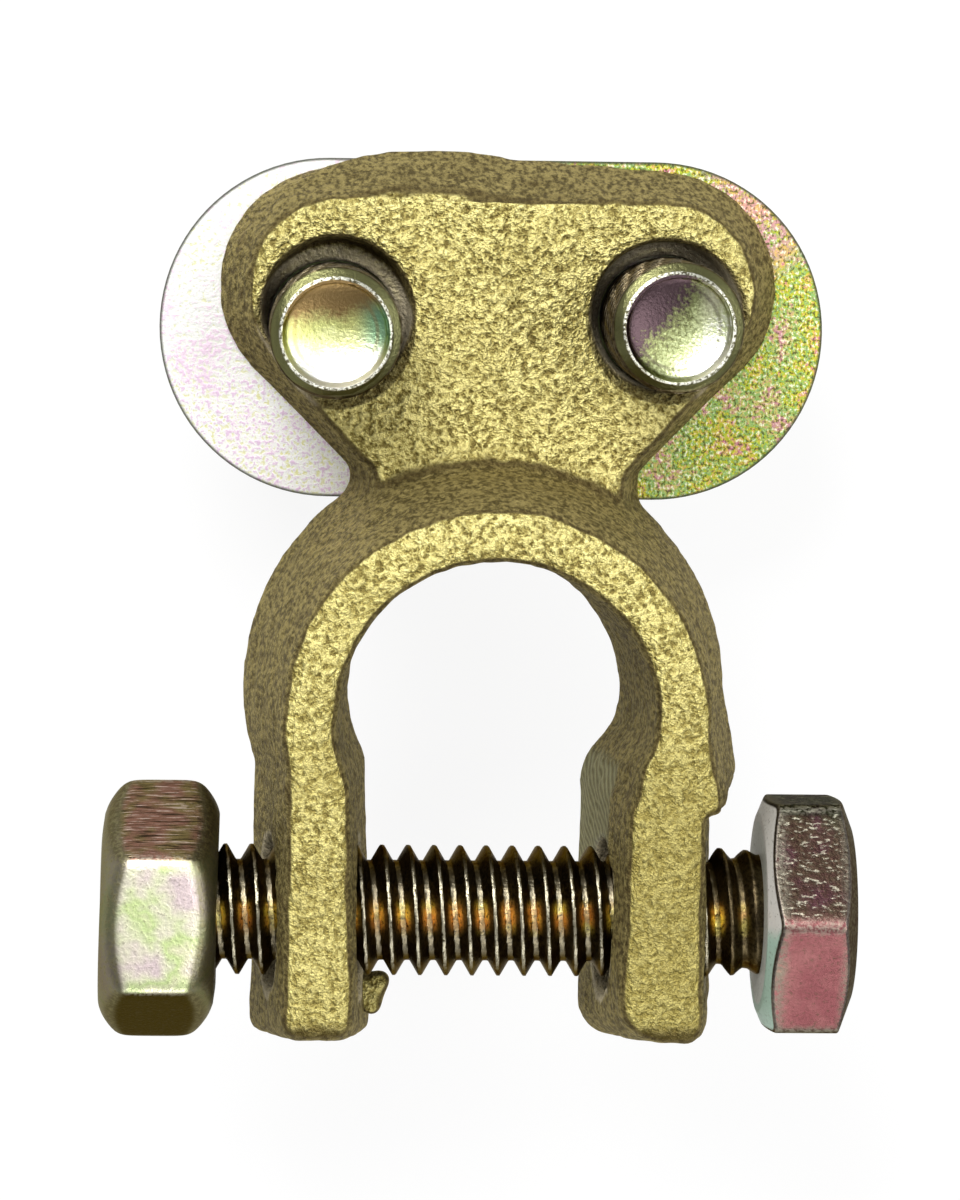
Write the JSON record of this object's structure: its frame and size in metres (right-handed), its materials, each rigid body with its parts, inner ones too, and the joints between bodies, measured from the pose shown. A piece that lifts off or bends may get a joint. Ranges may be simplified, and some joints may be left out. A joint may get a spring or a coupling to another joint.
{
  "type": "battery terminal clamp",
  "caption": "Cast brass clamp for a tapered battery post, drawn shut by a cross bolt and nut, with a bolted plate that grips the cable end against its pad.",
  "frame": {"origin": "on the post bore's axis, in the flat back face of the casting, at the narrow end of the bore", "axes": "+Z along the post bore and out of its wide end, the way the battery post leaves; +Y from the bore to the cable pad; +X from the nut to the head of the clamp bolt"},
  "size_m": [0.0365, 0.0435, 0.0209],
  "materials": {
    "cast_brass": "as cast, coarse sand grain",
    "plated_fasteners": "yellow zinc plated",
    "plated_nut": "yellow zinc plated",
    "plated_plate": "yellow zinc plated, iridescent"
  },
  "bodies": {
    "terminal_body": {"terminal_body": "cast_brass"},
    "clamp_bolt": {"clamp_bolt": "plated_fasteners"},
    "clamp_nut": {"clamp_nut": "plated_nut"},
    "cable_plate": {"cable_plate": "plated_plate"},
    "cable_bolt_left": {"cable_bolt_left": "plated_fasteners"},
    "cable_bolt_right": {"cable_bolt_right": "plated_fasteners"}
  },
  "joints": [
    {"name": "clamp_bolt_travel", "type": "slide", "parent": "terminal_body", "child": "clamp_bolt", "axis": [1, 0, 0], "range_m": [-0.0016, 0.004]},
    {"name": "clamp_nut_turn", "type": "hinge", "parent": "terminal_body", "child": "clamp_nut", "pos_m": [-0.016, -0.01012, 0.0075], "axis": [1, 0, 0], "range_deg": [-1140, 460]},
    {"name": "cable_plate_travel", "type": "slide", "parent": "terminal_body", "child": "cable_plate", "axis": [0, 0, 1], "range_m": [-0.006, 0]},
    {"name": "cable_bolt_left_turn", "type": "hinge", "parent": "cable_plate", "child": "cable_bolt_left", "pos_m": [-0.00775, 0.01805, 0], "axis": [0, 0, 1], "range_deg": [-1710, 0]},
    {"name": "cable_bolt_right_turn", "type": "hinge", "parent": "cable_plate", "child": "cable_bolt_right", "pos_m": [0.0086, 0.0185, 0], "axis": [0, 0, 1], "range_deg": [-1710, 0]}
  ],
  "couplings": [
    {"joint": "clamp_nut_turn", "follows": "clamp_bolt_travel", "rad_per_m": -4947.4},
    {"joint": "cable_bolt_left_turn", "follows": "cable_plate_travel", "rad_per_m": 4947.4},
    {"joint": "cable_bolt_right_turn", "follows": "cable_plate_travel", "rad_per_m": 4947.4}
  ]
}
